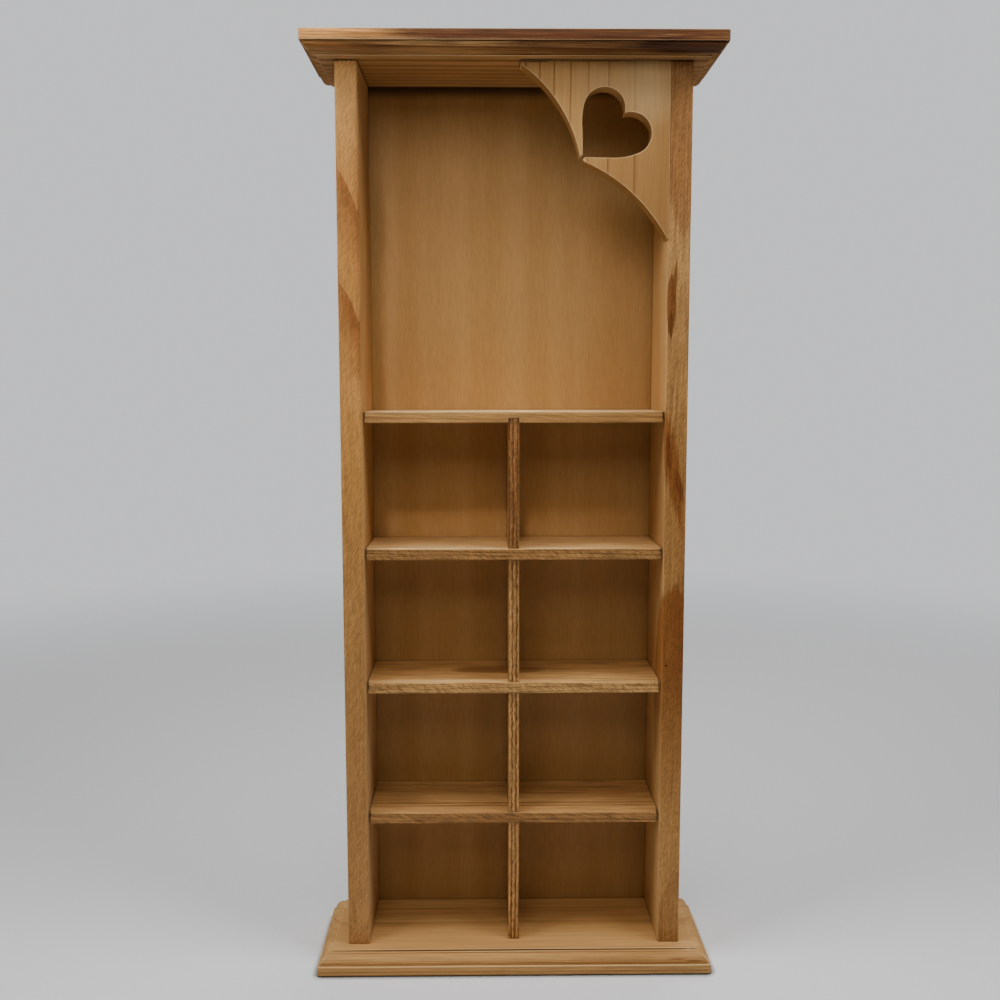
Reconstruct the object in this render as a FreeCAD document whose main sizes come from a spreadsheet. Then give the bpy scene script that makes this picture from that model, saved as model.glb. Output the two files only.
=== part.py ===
# Cubby wall shelf in clear-finished pine: two uprights between a moulded top board and a moulded base
# board, four thin shelves laid across them, a centre divider that laps the shelves, a plywood back nailed
# on behind, and a scroll-sawn corner bracket with a heart cut-out. Frame: +Z up, front towards -Y,
# origin under the middle of the base.
import FreeCAD
import Part
import Sketcher
import math
import os
from types import SimpleNamespace

# Driving sizes in millimetres
SIZES = {
    # Case
    "upright_thickness": 12.7,
    "upright_depth": 57.15,
    "upright_easing": 1.0,
    "inner_width": 176.6,
    "cubby_height": 74.7,
    "bay_height": 197.1,
    # Top and base boards, with the moulding that runs round their front and ends
    "board_thickness": 11.5,
    "overhang": 16.9,
    "corner_radius": 1.5,
    "moulding_ledge": 1.5,
    "ovolo_radius": 4.8,
    "front_flat": 3.7,
    "end_flat": 1.6,
    "moulding_riser": 0.7,
    # Shelves, divider and the joints between them
    "shelf_thickness": 6.35,
    "shelf_setback": 4.0,
    "shelf_end_gap": 0.3,
    "divider_thickness": 6.35,
    "divider_setback": 5.0,
    "lap_line": 27.0,
    "lap_clearance": 0.1,
    "dado_depth": 3.0,
    "edge_easing": 0.5,
    # Plywood back
    "panel_thickness": 3.0,
    "panel_margin": 1.0,
    # Corner bracket, measured left from the upright and down from the top board
    "bracket_thickness": 12.7,
    "bracket_reach": 84.6,
    "bracket_drop": 98.5,
    "bracket_tip_gap": 0.5,
    "bracket_tip": 2.3,
    "bracket_toe": 0.8,
    "nose_reach": 50.95,
    "nose_drop": 53.2,
    "nose_height": 2.55,
    "nose_slant": 2.65,
    "upper_scoop_radius": 81.4,
    "lower_scoop_radius": 97.8,
    # Heart cut-out, its point at the nose; the saw came in beside the point, on the upper prong's side
    "heart_reach": 48.0,
    "heart_drop": 53.5,
    "lobe_radius": 11.7,
    "lobe_offset": 10.25,
    "lobe_rise": 27.4,
    "heart_side_reach": 12.3,
    "heart_side_rise": 11.0,
    "heart_side_radius": 35.5,
    "kerf_near": 0.3,
    "kerf_far": 2.4,
    "kerf_far_rise": 0.3,
    "kerf_run": 5.0,
    # Flat-wire finishing nails of the joints and brads of the back
    "nail_length": 32.0,
    "nail_width": 1.6,
    "nail_wire": 1.4,
    "nail_head_width": 2.9,
    "nail_head_height": 1.0,
    "nail_point": 2.0,
    "nail_inset": 13.0,
    "divider_nail_inset": 12.0,
    "bracket_nail_reach": 16.0,
    "bracket_tip_nail_reach": 55.5,
    "bracket_nail_drop": 10.0,
    "bracket_low_nail_drop": 67.0,
    "brad_length": 15.0,
    "brad_width": 1.2,
    "brad_wire": 1.0,
    "brad_head_width": 2.2,
    "brad_head_height": 0.7,
    "brad_point": 1.5,
    # Hanging keyholes, cut through the back and into the uprights' rear edges
    "keyhole_drop": 38.0,
    "keyhole_travel": 10.0,
    "keyhole_head_radius": 4.3,
    "keyhole_neck_radius": 2.1,
    "keyhole_depth": 8.0,
    # Cutters start and end this far outside the wood
    "overrun": 2.0,
}

SHELF_NAMES = ["lowest_shelf", "third_shelf", "second_shelf", "upper_shelf"]
SIDES = {"left": -1, "right": 1}
HEART_TILT_DEGREES = 42
# Where each lobe of the heart runs into its side, below the lobe's widest point
SHOULDER_DEGREES = 25
SHOULDER_OUT_SHARE = math.cos(math.radians(SHOULDER_DEGREES))
SHOULDER_DOWN_SHARE = math.sin(math.radians(SHOULDER_DEGREES))
# Heights of the back's brads in the uprights and places across the shelves, as shares of the case
UPRIGHT_BRAD_SHARES = [0.08, 0.38, 0.68, 0.97]
SHELF_BRAD_SHARES = [-0.25, 0.25]
# The way an arc leaves its corner: round bulges outwards, scoop curves in
ROUND = 1
SCOOP = -1
# Sketch plane across each axis, and whether the plane's normal runs along the axis or against it
PLANES = {"X": ("YZ_Plane", 1), "Y": ("XZ_Plane", -1), "Z": ("XY_Plane", 1)}


class Measure:
    """A size kept with the sheet formula it comes from, so that what uses it stays bound to the sheet."""

    def __init__(self, value, formula):
        self.value = value
        self.formula = formula

    def joined(self, sign, other, value):
        return Measure(value, "(%s %s %s)" % (self.formula, sign, as_measure(other).formula))

    def __add__(self, other):
        return self.joined("+", other, self.value + as_measure(other).value)

    def __sub__(self, other):
        return self.joined("-", other, self.value - as_measure(other).value)

    def __mul__(self, other):
        return self.joined("*", other, self.value * as_measure(other).value)

    def __truediv__(self, other):
        return self.joined("/", other, self.value / as_measure(other).value)

    def __neg__(self):
        return self * -1


def as_measure(thing):
    """A plain number becomes a measure whose formula is that number."""
    return thing if isinstance(thing, Measure) else Measure(thing, repr(thing))


def short_side(long_side, other_side):
    """Third side of a right triangle from its longest side and one other."""
    value = math.sqrt(long_side.value ** 2 - other_side.value ** 2)
    return Measure(value, "sqrt(%s ^ 2 - %s ^ 2)" % (long_side.formula, other_side.formula))


def bind(thing, prop, measure):
    """Ties a property to the sheet."""
    thing.setExpression(prop, as_measure(measure).formula)


doc = FreeCAD.newDocument("cubby_shelf")
sheet = doc.addObject("Spreadsheet::Sheet", "sizes")
for row, (name, value) in enumerate(SIZES.items(), start=1):
    sheet.set("A%d" % row, name)
    sheet.set("B%d" % row, str(value))
    sheet.setAlias("B%d" % row, name)
doc.recompute()
size = SimpleNamespace(**{name: Measure(value, "sizes." + name) for name, value in SIZES.items()})

# Main places, worked out from the driving sizes
half_inner = size.inner_width / 2
half_outer = half_inner + size.upright_thickness
half_board = half_outer + size.overhang
board_front = -(size.overhang + size.upright_depth + size.panel_thickness) / 2
upright_front = board_front + size.overhang
case_rear = upright_front + size.upright_depth
panel_rear = case_rear + size.panel_thickness
base_top = size.board_thickness
shelf_pitch = size.cubby_height + size.shelf_thickness
case_top = base_top + shelf_pitch * len(SHELF_NAMES) + size.bay_height
board_top = case_top + size.board_thickness
upright_middle = half_inner + size.upright_thickness / 2
lap_meeting = upright_front + size.lap_line
keyhole_height = case_top - size.keyhole_drop


def shelf_top(level):
    """Height of a shelf's upper face; level 0 is the lowest shelf."""
    return base_top + shelf_pitch * (level + 1)


def pin_point(sketch, geometry, end, x, y):
    """Holds one point of a sketch at x, y from the sketch's origin."""
    for kind, axis, place in (("DistanceX", -2, x), ("DistanceY", -1, y)):
        if not isinstance(place, Measure):
            sketch.addConstraint(Sketcher.Constraint("PointOnObject", geometry, end, axis))
            continue
        index = sketch.addConstraint(Sketcher.Constraint(kind, -1, 1, geometry, end, place.value))
        bind(sketch, "Constraints[%d]" % index, place)


def arc_between(start, finish, radius, turn):
    """Arc under a half circle from start to finish that turns left (1) or right (-1)."""
    chord = finish - start
    height = math.sqrt(max(radius ** 2 - (chord.Length / 2) ** 2, 0))
    left = FreeCAD.Vector(-chord.y, chord.x, 0).normalize()
    centre = start + chord / 2 + left * height * turn
    angles = [math.atan2(p.y - centre.y, p.x - centre.x) for p in (start, finish)]
    low, high = angles if turn > 0 else reversed(angles)
    return Part.ArcOfCircle(Part.Circle(centre, FreeCAD.Vector(0, 0, 1), radius), low, high)


def draw_outline(sketch, corners):
    """Closed outline; a corner with a radius and a turn starts an arc to the next corner."""
    spots = [FreeCAD.Vector(as_measure(c[0]).value, as_measure(c[1]).value, 0) for c in corners]
    ends = []
    for corner, start, finish in zip(corners, spots, spots[1:] + spots[:1]):
        if len(corner) == 2:
            edge = sketch.addGeometry(Part.LineSegment(start, finish), False)
            ends.append((edge, 1, 2))
            continue
        radius, turn = corner[2:]
        edge = sketch.addGeometry(arc_between(start, finish, radius.value, turn), False)
        ends.append((edge, 1, 2) if turn > 0 else (edge, 2, 1))
    for (edge, first, last), (following, start, finish) in zip(ends, ends[1:] + ends[:1]):
        sketch.addConstraint(Sketcher.Constraint("Coincident", edge, last, following, start))
    for (edge, first, last), corner in zip(ends, corners):
        pin_point(sketch, edge, first, corner[0], corner[1])
        if len(corner) > 2:
            index = sketch.addConstraint(Sketcher.Constraint("Radius", edge, corner[2].value))
            bind(sketch, "Constraints[%d]" % index, corner[2])


def new_body(name):
    """Empty body for one piece of wood or one kind of nail."""
    body = doc.addObject("PartDesign::Body", name + "_blank")
    body.Label = name + " blank"
    return body


def origin_plane(body, role):
    return next(plane for plane in body.Origin.OriginFeatures if plane.Role == role)


def new_sketch(body, role, name, offset):
    """Sketch on one of the body's own origin planes, moved along the plane's normal."""
    sketch = body.newObject("Sketcher::SketchObject", name)
    sketch.AttachmentSupport = (origin_plane(body, role), [""])
    sketch.MapMode = "FlatFace"
    bind(sketch, "AttachmentOffset.Base.z", offset)
    return sketch


def extrude(body, kind, axis, name, corners, low, high):
    """Pad or Pocket of an outline along X, Y or Z, between two places on that axis."""
    role, sense = PLANES[axis]
    starts_low = (kind == "Pad") == (sense > 0)
    sketch = new_sketch(body, role, name + "_outline", (low if starts_low else high) * sense)
    draw_outline(sketch, corners)
    return finish_extrude(body, kind, name, sketch, high - low)


def finish_extrude(body, kind, name, sketch, length):
    """Adds the feature over its sketch; a cut has to take wood away."""
    before = body.Shape.Volume if kind == "Pocket" else math.inf
    feature = body.newObject("PartDesign::" + kind, name)
    feature.Profile = sketch
    bind(feature, "Length", length)
    doc.recompute()
    if not 0 < body.Shape.Volume < before:
        raise RuntimeError("%s changed nothing" % name)
    return feature


def rectangle(low_x, low_y, high_x, high_y):
    return [(low_x, low_y), (high_x, low_y), (high_x, high_y), (low_x, high_y)]


def plan_outline(low, high, front, rear, easing):
    """Board seen from above, its two front corners eased."""
    return [
        (low + easing, front),
        (high - easing, front, easing, ROUND),
        (high, front + easing),
        (high, rear),
        (low, rear),
        (low, front + easing, easing, ROUND),
    ]


def end_outline(front, rear, low, high, easing):
    """Board seen from its end, front to the left, its two front arrises eased."""
    return [
        (front + easing, low),
        (rear, low),
        (rear, high),
        (front + easing, high, easing, ROUND),
        (front, high - easing),
        (front, low + easing, easing, ROUND),
    ]


def slot_outline(middle, low, high, radius):
    """Upright slot with round ends, centred on middle; low and high are the end centres."""
    return [
        (middle - radius, low, radius, ROUND),
        (middle, low - radius, radius, ROUND),
        (middle + radius, low),
        (middle + radius, high, radius, ROUND),
        (middle, high + radius, radius, ROUND),
        (middle - radius, high),
    ]


def circle_outline(middle, height, radius):
    """Circle of four arcs."""
    return [
        (middle - radius, height, radius, ROUND),
        (middle, height - radius, radius, ROUND),
        (middle + radius, height, radius, ROUND),
        (middle, height + radius, radius, ROUND),
    ]


def moulding_outline(edge, face, sense, flat):
    """What the moulding cutter takes off one edge: a step, a flat, an ovolo and a ledge over the fascia.

    edge is where the board ends, face is its moulded face, sense is the way from that face into the
    wood, and flat is the width between the step and the ovolo.
    """
    ovolo_inner = edge + size.moulding_ledge + size.ovolo_radius
    inner = ovolo_inner + flat
    outside = edge - size.overrun
    clear = face - size.overrun * sense
    step = face + size.moulding_riser * sense
    ledge = step + size.ovolo_radius * sense
    return [
        (outside, clear),
        (inner, clear),
        (inner, step),
        (ovolo_inner, step, size.ovolo_radius, -sense),
        (edge + size.moulding_ledge, ledge),
        (outside, ledge),
    ]


def moulded_board(name, low, high, face, sense):
    """Top or base board, moulded round its front and both ends on one face."""
    body = new_body(name)
    plan = plan_outline(-half_board, half_board, board_front, case_rear, size.corner_radius)
    extrude(body, "Pad", "Z", name + "_stock", plan, low, high)
    past_end = half_board + size.overrun
    front_cut = moulding_outline(board_front, face, sense, size.front_flat)
    extrude(body, "Pocket", "X", name + "_front_moulding", front_cut, -past_end, past_end)
    end_cut = moulding_outline(-half_board, face, sense, size.end_flat)
    past_front = board_front - size.overrun
    end_moulding = extrude(body, "Pocket", "Y", name + "_end_moulding", end_cut, past_front,
                           case_rear + size.overrun)
    mirrored = body.newObject("PartDesign::Mirrored", name + "_other_end")
    mirrored.Originals = [end_moulding]
    mirrored.MirrorPlane = (origin_plane(body, "YZ_Plane"), [""])
    body.Tip = mirrored
    doc.recompute()
    return body


def upright(side):
    """Side board, its front arrises eased, with the keyhole's undercut in its rear edge."""
    name = side + "_upright"
    body = new_body(name)
    inner, outer = half_inner * SIDES[side], half_outer * SIDES[side]
    low, high = (outer, inner) if side == "left" else (inner, outer)
    plan = plan_outline(low, high, upright_front, case_rear, size.upright_easing)
    extrude(body, "Pad", "Z", name + "_stock", plan, base_top, case_top)
    undercut = slot_outline(upright_middle * SIDES[side], keyhole_height,
                            keyhole_height + size.keyhole_travel, size.keyhole_head_radius)
    extrude(body, "Pocket", "Y", name + "_undercut", undercut, case_rear - size.keyhole_depth,
            case_rear + size.overrun)
    return body


def back_panel():
    """Plywood back over the rear edges of the case, with a keyhole behind each upright."""
    body = new_body("back_panel")
    side = half_outer - size.panel_margin
    sheet_outline = rectangle(-side, size.panel_margin, side, board_top - size.panel_margin)
    extrude(body, "Pad", "Y", "panel_stock", sheet_outline, case_rear, panel_rear)
    past_front, past_rear = case_rear - size.overrun, panel_rear + size.overrun
    for side, sign in SIDES.items():
        middle = upright_middle * sign
        head = circle_outline(middle, keyhole_height, size.keyhole_head_radius)
        extrude(body, "Pocket", "Y", side + "_keyhole_head", head, past_front, past_rear)
        neck = slot_outline(middle, keyhole_height, keyhole_height + size.keyhole_travel,
                            size.keyhole_neck_radius)
        extrude(body, "Pocket", "Y", side + "_keyhole_neck", neck, past_front, past_rear)
    return body


def shelf(level):
    """Thin shelf between the uprights, front arrises eased, with its joint to the divider."""
    name = SHELF_NAMES[level]
    body = new_body(name)
    high = shelf_top(level)
    low = high - size.shelf_thickness
    front = upright_front + size.shelf_setback
    section = end_outline(front, case_rear, low, high, size.edge_easing)
    end = half_inner - size.shelf_end_gap
    extrude(body, "Pad", "X", name + "_stock", section, -end, end)
    slot_side = size.divider_thickness / 2 + size.lap_clearance
    past_rear = case_rear + size.overrun
    if level == len(SHELF_NAMES) - 1:
        dado = rectangle(-slot_side, low - size.overrun, slot_side, low + size.dado_depth)
        extrude(body, "Pocket", "Y", name + "_dado", dado, front - size.overrun, past_rear)
    else:
        lap = rectangle(-slot_side, lap_meeting, slot_side, past_rear)
        extrude(body, "Pocket", "Z", name + "_lap", lap, low - size.overrun, high + size.overrun)
    return body


def centre_divider():
    """Upright divider from the base into the upper shelf's dado, slotted from the front at each lap."""
    body = new_body("centre_divider")
    side = size.divider_thickness / 2
    front = upright_front + size.divider_setback
    under_shelf = shelf_top(len(SHELF_NAMES) - 1) - size.shelf_thickness
    plan = plan_outline(-side, side, front, case_rear, size.edge_easing)
    extrude(body, "Pad", "Z", "divider_stock", plan, base_top,
            under_shelf + size.dado_depth - size.lap_clearance)
    for level, name in enumerate(SHELF_NAMES[:-1]):
        high = shelf_top(level) + size.lap_clearance
        low = shelf_top(level) - size.shelf_thickness - size.lap_clearance
        lap = rectangle(front - size.overrun, low, lap_meeting, high)
        extrude(body, "Pocket", "X", "lap_over_" + name, lap, -side - size.overrun, side + size.overrun)
    return body


def heart_bracket():
    """Corner bracket with two scooped edges that meet at a nose, and a heart sawn in through it."""
    body = new_body("heart_bracket")
    nose_left = half_inner - size.nose_reach
    nose_top = case_top - size.nose_drop
    tip = half_inner - size.bracket_reach
    toe = case_top - size.bracket_drop
    face = [
        (tip, case_top - size.bracket_tip_gap),
        (tip, case_top - size.bracket_tip, size.upper_scoop_radius, SCOOP),
        (nose_left, nose_top),
        (nose_left + size.nose_slant, nose_top - size.nose_height, size.lower_scoop_radius, SCOOP),
        (half_inner - size.bracket_toe, toe),
        (half_inner, toe),
        (half_inner, case_top),
    ]
    rear = upright_front + size.bracket_thickness
    extrude(body, "Pad", "Y", "bracket_stock", face, upright_front, rear)
    sketch = new_sketch(body, "XZ_Plane", "heart_outline", -(upright_front - size.overrun))
    turn = FreeCAD.Rotation(FreeCAD.Vector(0, 0, 1), -HEART_TILT_DEGREES)
    sketch.AttachmentOffset = FreeCAD.Placement(FreeCAD.Vector(), turn)
    bind(sketch, "AttachmentOffset.Base.x", half_inner - size.heart_reach)
    bind(sketch, "AttachmentOffset.Base.y", case_top - size.heart_drop)
    draw_outline(sketch, heart_outline())
    finish_extrude(body, "Pocket", "heart", sketch, size.bracket_thickness + size.overrun * 2)
    return body


def heart_outline():
    """Heart about its own axis with the point at the origin, and the saw's kerf running out below it."""
    shoulder = size.lobe_offset + size.lobe_radius * SHOULDER_OUT_SHARE
    shoulder_rise = size.lobe_rise - size.lobe_radius * SHOULDER_DOWN_SHARE
    crown = size.lobe_rise + size.lobe_radius
    notch = size.lobe_rise + short_side(size.lobe_radius, size.lobe_offset)
    lobe = (size.lobe_radius, ROUND)
    side = (size.heart_side_radius, ROUND)
    return [
        (-size.kerf_near, -size.kerf_run),
        (-size.kerf_near, 0),
        (size.heart_side_reach, size.heart_side_rise, *side),
        (shoulder, shoulder_rise, *lobe),
        (size.lobe_offset, crown, *lobe),
        (0, notch, *lobe),
        (-size.lobe_offset, crown, *lobe),
        (-shoulder, shoulder_rise, *side),
        (-size.heart_side_reach, size.heart_side_rise),
        (-size.kerf_far, size.kerf_far_rise),
        (-size.kerf_far, -size.kerf_run),
    ]


def nail(kind):
    """Nail of flat wire with a T head and a chisel point, driven down, its head's top at the origin."""
    body = new_body(kind)
    head_side = getattr(size, kind + "_head_width") / 2
    shank_side = getattr(size, kind + "_width") / 2
    head = -getattr(size, kind + "_head_height")
    end = -getattr(size, kind + "_length")
    shoulder = end + getattr(size, kind + "_point")
    half_wire = getattr(size, kind + "_wire") / 2
    profile = [
        (-head_side, 0),
        (-head_side, head),
        (-shank_side, head),
        (-shank_side, shoulder),
        (0, end),
        (shank_side, shoulder),
        (shank_side, head),
        (head_side, head),
        (head_side, 0),
    ]
    extrude(body, "Pad", "Y", kind + "_profile", profile, -half_wire, half_wire)
    return body


def drive(name, kind, direction, heads):
    """One group of nails: copies of a nail with their heads at the given places, driven one way."""
    turn = FreeCAD.Rotation(FreeCAD.Vector(0, 0, -1), FreeCAD.Vector(*direction))
    copies = []
    for number, head in enumerate(heads, start=1):
        copy = doc.addObject("App::Link", "%s_%d" % (name, number))
        copy.LinkedObject = nails[kind]
        copy.Placement = FreeCAD.Placement(FreeCAD.Vector(), turn)
        for axis, place in zip("xyz", head):
            bind(copy, "Placement.Base." + axis, place)
        copies.append(copy)
    group = doc.addObject("Part::Compound", name)
    group.Label = name
    group.Links = copies
    doc.recompute()
    return group


def shelf_nail_heads(side):
    """Two nails through an upright into the end of every shelf."""
    across = half_outer * SIDES[side]
    heights = [shelf_top(level) - size.shelf_thickness / 2 for level in range(len(SHELF_NAMES))]
    return [(across, depth, height) for height in heights for depth in nail_depths]


def brad_heads():
    """Brads of the back: up both uprights, along each shelf and into the top and base boards."""
    heads = []
    for share in UPRIGHT_BRAD_SHARES:
        height = base_top + (case_top - base_top) * share
        heads += [(upright_middle * sign, panel_rear, height) for sign in SIDES.values()]
    heights = [shelf_top(level) - size.shelf_thickness / 2 for level in range(len(SHELF_NAMES))]
    heights += [base_top / 2, case_top + size.board_thickness / 2]
    for height in heights:
        heads += [(size.inner_width * share, panel_rear, height) for share in SHELF_BRAD_SHARES]
    return heads


def bracket_nails():
    """Two nails down through the top board and two in through the upright hold the bracket."""
    middle = upright_front + size.bracket_thickness / 2
    down = [(half_inner - reach, middle, board_top)
            for reach in (size.bracket_nail_reach, size.bracket_tip_nail_reach)]
    across = [(half_outer, middle, case_top - drop)
              for drop in (size.bracket_nail_drop, size.bracket_low_nail_drop)]
    return down, across


nails = {kind: nail(kind) for kind in ("nail", "brad")}
nail_depths = [upright_front + size.nail_inset, case_rear - size.nail_inset]
upright_ends = [(upright_middle * sign, depth) for sign in SIDES.values() for depth in nail_depths]
divider_depths = [lap_meeting - size.divider_nail_inset, lap_meeting + size.divider_nail_inset]
down_heads, across_heads = bracket_nails()

groups = {
    "top_nails": drive("top_nails", "nail", (0, 0, -1), [(x, y, board_top) for x, y in upright_ends]),
    "base_nails": drive("base_nails", "nail", (0, 0, 1), [(x, y, 0) for x, y in upright_ends]),
    "divider_nails": drive("divider_nails", "nail", (0, 0, 1), [(0, y, 0) for y in divider_depths]),
    "left_shelf_nails": drive("left_shelf_nails", "nail", (1, 0, 0), shelf_nail_heads("left")),
    "right_shelf_nails": drive("right_shelf_nails", "nail", (-1, 0, 0), shelf_nail_heads("right")),
    "bracket_top_nails": drive("bracket_top_nails", "nail", (0, 0, -1), down_heads),
    "bracket_side_nails": drive("bracket_side_nails", "nail", (-1, 0, 0), across_heads),
    "back_panel_brads": drive("back_panel_brads", "brad", (0, -1, 0), brad_heads()),
}
all_nails = doc.addObject("Part::Compound", "all_nails")
all_nails.Links = list(groups.values())

blanks = {
    "top_board": moulded_board("top_board", case_top, board_top, case_top, 1),
    "base_board": moulded_board("base_board", as_measure(0), base_top, base_top, -1),
    "left_upright": upright("left"),
    "right_upright": upright("right"),
    "back_panel": back_panel(),
    "centre_divider": centre_divider(),
    "heart_bracket": heart_bracket(),
}
for level, name in enumerate(SHELF_NAMES):
    blanks[name] = shelf(level)

# Each nail is bedded in the wood: its own shape is taken out of every board that it passes through
pieces = dict(groups)
for name, blank in blanks.items():
    piece = doc.addObject("Part::Cut", name)
    piece.Label = name
    piece.Base = blank
    piece.Tool = all_nails
    pieces[name] = piece
doc.recompute()

for thing in doc.Objects:
    if "Invalid" in thing.State or "Error" in thing.State:
        raise RuntimeError("%s failed: %s" % (thing.Name, thing.State))
for name, piece in pieces.items():
    if piece.Shape.isNull() or not piece.Shape.isValid():
        raise RuntimeError("%s has no valid shape" % name)

os.makedirs("parts", exist_ok=True)
for name, piece in pieces.items():
    piece.Shape.exportStep("parts/%s.step" % piece.Label)
    print("%-20s %3d solids %10.1f mm3" % (name, len(piece.Shape.Solids), piece.Shape.Volume))
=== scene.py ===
"""Dresses the cubby wall shelf in clear-finished pine, a plywood back and wire nails, in a small studio."""
import math
from collections import namedtuple

import bmesh
import bpy
from mathutils import Matrix, Vector


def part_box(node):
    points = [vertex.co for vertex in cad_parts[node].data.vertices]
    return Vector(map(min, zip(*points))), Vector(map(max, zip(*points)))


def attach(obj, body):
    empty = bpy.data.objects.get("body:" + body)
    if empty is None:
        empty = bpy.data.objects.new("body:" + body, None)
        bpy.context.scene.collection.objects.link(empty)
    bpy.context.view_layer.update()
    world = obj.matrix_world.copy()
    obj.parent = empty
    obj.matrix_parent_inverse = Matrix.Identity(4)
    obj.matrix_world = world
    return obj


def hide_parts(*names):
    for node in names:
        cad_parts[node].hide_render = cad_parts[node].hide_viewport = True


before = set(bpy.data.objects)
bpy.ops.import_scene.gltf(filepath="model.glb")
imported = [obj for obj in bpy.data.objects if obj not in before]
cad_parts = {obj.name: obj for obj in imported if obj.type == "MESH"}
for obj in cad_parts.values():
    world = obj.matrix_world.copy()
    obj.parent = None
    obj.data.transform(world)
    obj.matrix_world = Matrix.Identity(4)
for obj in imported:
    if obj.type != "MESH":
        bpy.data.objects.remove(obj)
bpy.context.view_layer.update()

bl_info = {
    "name": "Cubby wall shelf",
    "version": (1, 0, 0),
    "blender": (4, 5, 0),
    "location": "View3D > Sidebar > Wall shelf",
    "description": "Gives the cubby wall shelf its pine, plywood and nails, and a studio to stand in",
    "category": "Object",
}

MM = 0.001
BODY = "root"

# Nodes of each kind of piece
BOARDS = ("top_board", "base_board")
UPRIGHTS = ("left_upright", "right_upright")
SHELVES = ("upper_shelf", "second_shelf", "third_shelf", "lowest_shelf")
NAILS = tuple(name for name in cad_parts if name.endswith(("_nails", "_brads")))

# Places on the shelf, read from the frame
CASE_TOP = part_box("left_upright")[1].z
INNER_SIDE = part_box("right_upright")[0].x
PANEL_FRONT, PANEL_REAR = (corner.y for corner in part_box("back_panel"))
BAY_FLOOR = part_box("upper_shelf")[1].z

# Limits for the eased copies of the boards
WELD = 0.001 * MM
NAIL_MARGIN = 0.1 * MM
FLAT_ANGLE = math.radians(0.5)
ARRIS_ANGLE = math.radians(35)
CRISP_ANGLE = math.radians(40)

# Slow patterns of the wood, each by the span of one change
WANDER_SPAN = 18 * MM
SWAY_SPAN = 30 * MM
TONE_SPAN = 26 * MM
STREAK_SPAN = 16 * MM
# Fine patterns, drawn coarser than the real ones so that they show
TORN_SPAN = 1.8 * MM
FIBRE_WIDTH = 0.9 * MM
PORE_WIDTH = 0.8 * MM
STROKE_WIDTH = 0.65 * MM
TARNISH_SPAN = 0.8 * MM
WEAVE_SPAN = 3 * MM
# Relief of the wood, and how far painted shade reaches: in the pine's joints, mixed with dust, in the
# panel's joints, and as a contact shadow on the floor
PINE_RELIEF = 0.12 * MM
VENEER_RELIEF = 0.08 * MM
PINE_SHADE_REACH = 1.6 * MM
PANEL_SHADE_REACH = 2 * MM
FLOOR_SHADOW_REACH = 4 * MM

# How far fibres, saw strokes and pores darken wood of coarseness 1, and lighten what lies between
FIBRE_DARK, FIBRE_LIGHT = 0.26, 0.18
STROKE_DARK, STROKE_LIGHT = 0.3, 0.2
PORE_DARK, PORE_LIGHT = 0.14, 0.03
# How far the varnish is smoother and rougher than its set roughness, from fibre to fibre
SMOOTHER, ROUGHER = 0.06, 0.08
# How softly the grime and painted shade end, and their strength in the deepest corners
GRIME_SHADE_EDGE, GRIME_SHADE_STRENGTH = 0.35, 0.82

# Factors that draw a pattern out along the grain
SLOW = (1, 1, 0.1)
TORN = (1, 1, 0.4)
FIBROUS = (1, 1, 0.03)
STREAKY = (1, 1, 0.02)
SHORT = (1, 1, 0.12)

# The share of a ring's strength that is left where rings grow faint, on planed faces and out of reach,
# and the length over which rings fade at the end of their reach
FAINT_FIGURE = 0.6
PLANED_FIGURE = 0.5
DISTANT_FIGURE = 0.15
REACH_FADE = 15 * MM
# The width of a ring of a wave texture whose scale is 1
WAVE_RING = math.pi / 10

# The painted shadow at the panel's top edge: where it starts and ends below the top board, and its strength
SHADOW_START, SHADOW_END, SHADOW_STRENGTH = 9 * MM, 1 * MM, 0.85
# How far from the panel's front face still counts as that face
FACE_MARGIN = 0.05 * MM

# Values that most of a noise lies between
NOISE_RANGE = {"From Min": 0.3, "From Max": 0.7}
# Settings of nodes that blend two colours, or tint one by another
BLEND = {"data_type": "RGBA"}
TINT = {"data_type": "RGBA", "blend_type": "MULTIPLY"}
# Rays that look for a joint at each point
JOINT_SAMPLES = 8

# A light, in metres: its place, the point it faces, its width and height, and the angle it spreads over.
# The soft ones face a point of the case above its middle, the narrow one the panel just over the bay's floor
Lamp = namedtuple("Lamp", "place target size spread", defaults=(math.pi,))
LIT_POINT = Vector((0, 0, 0.6 * CASE_TOP))
BAY_POINT = Vector((-60 * MM, PANEL_FRONT, BAY_FLOOR + 20 * MM))
LAMPS = {
    "left": Lamp((-0.45, -0.2, 0.95), LIT_POINT, (0.4, 0.25)),
    "right": Lamp((0.42, -0.2, 0.95), LIT_POINT, (0.4, 0.25)),
    "front": Lamp((-0.06, -0.75, 0.85), LIT_POINT, (0.6, 0.4)),
    "bay": Lamp((-0.15, -0.56, 1.02), BAY_POINT, (0.24, 0.15), math.radians(7)),
    "rear": Lamp((0.3, 0.9, 0.9), LIT_POINT, (0.8, 0.5)),
}

# The floor's radius, and how far from its middle it starts to fade into the background, in metres
FLOOR_RADIUS = 1.5
FLOOR_FADE = 0.35

# The photograph's camera, fitted to the shelf's corners: its place, its turn in degrees, its focal length
# and picture width in pixels, and a sensor width in millimetres
CAMERA_PLACE = Vector((-15.94, -644.32, 351.83)) * MM
CAMERA_PITCH, CAMERA_YAW, CAMERA_ROLL = 6.1735, -0.7196, 0.1335
FOCAL_PIXELS, PICTURE_PIXELS = 1070.28, 1000
SENSOR_WIDTH = 36.0
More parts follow.
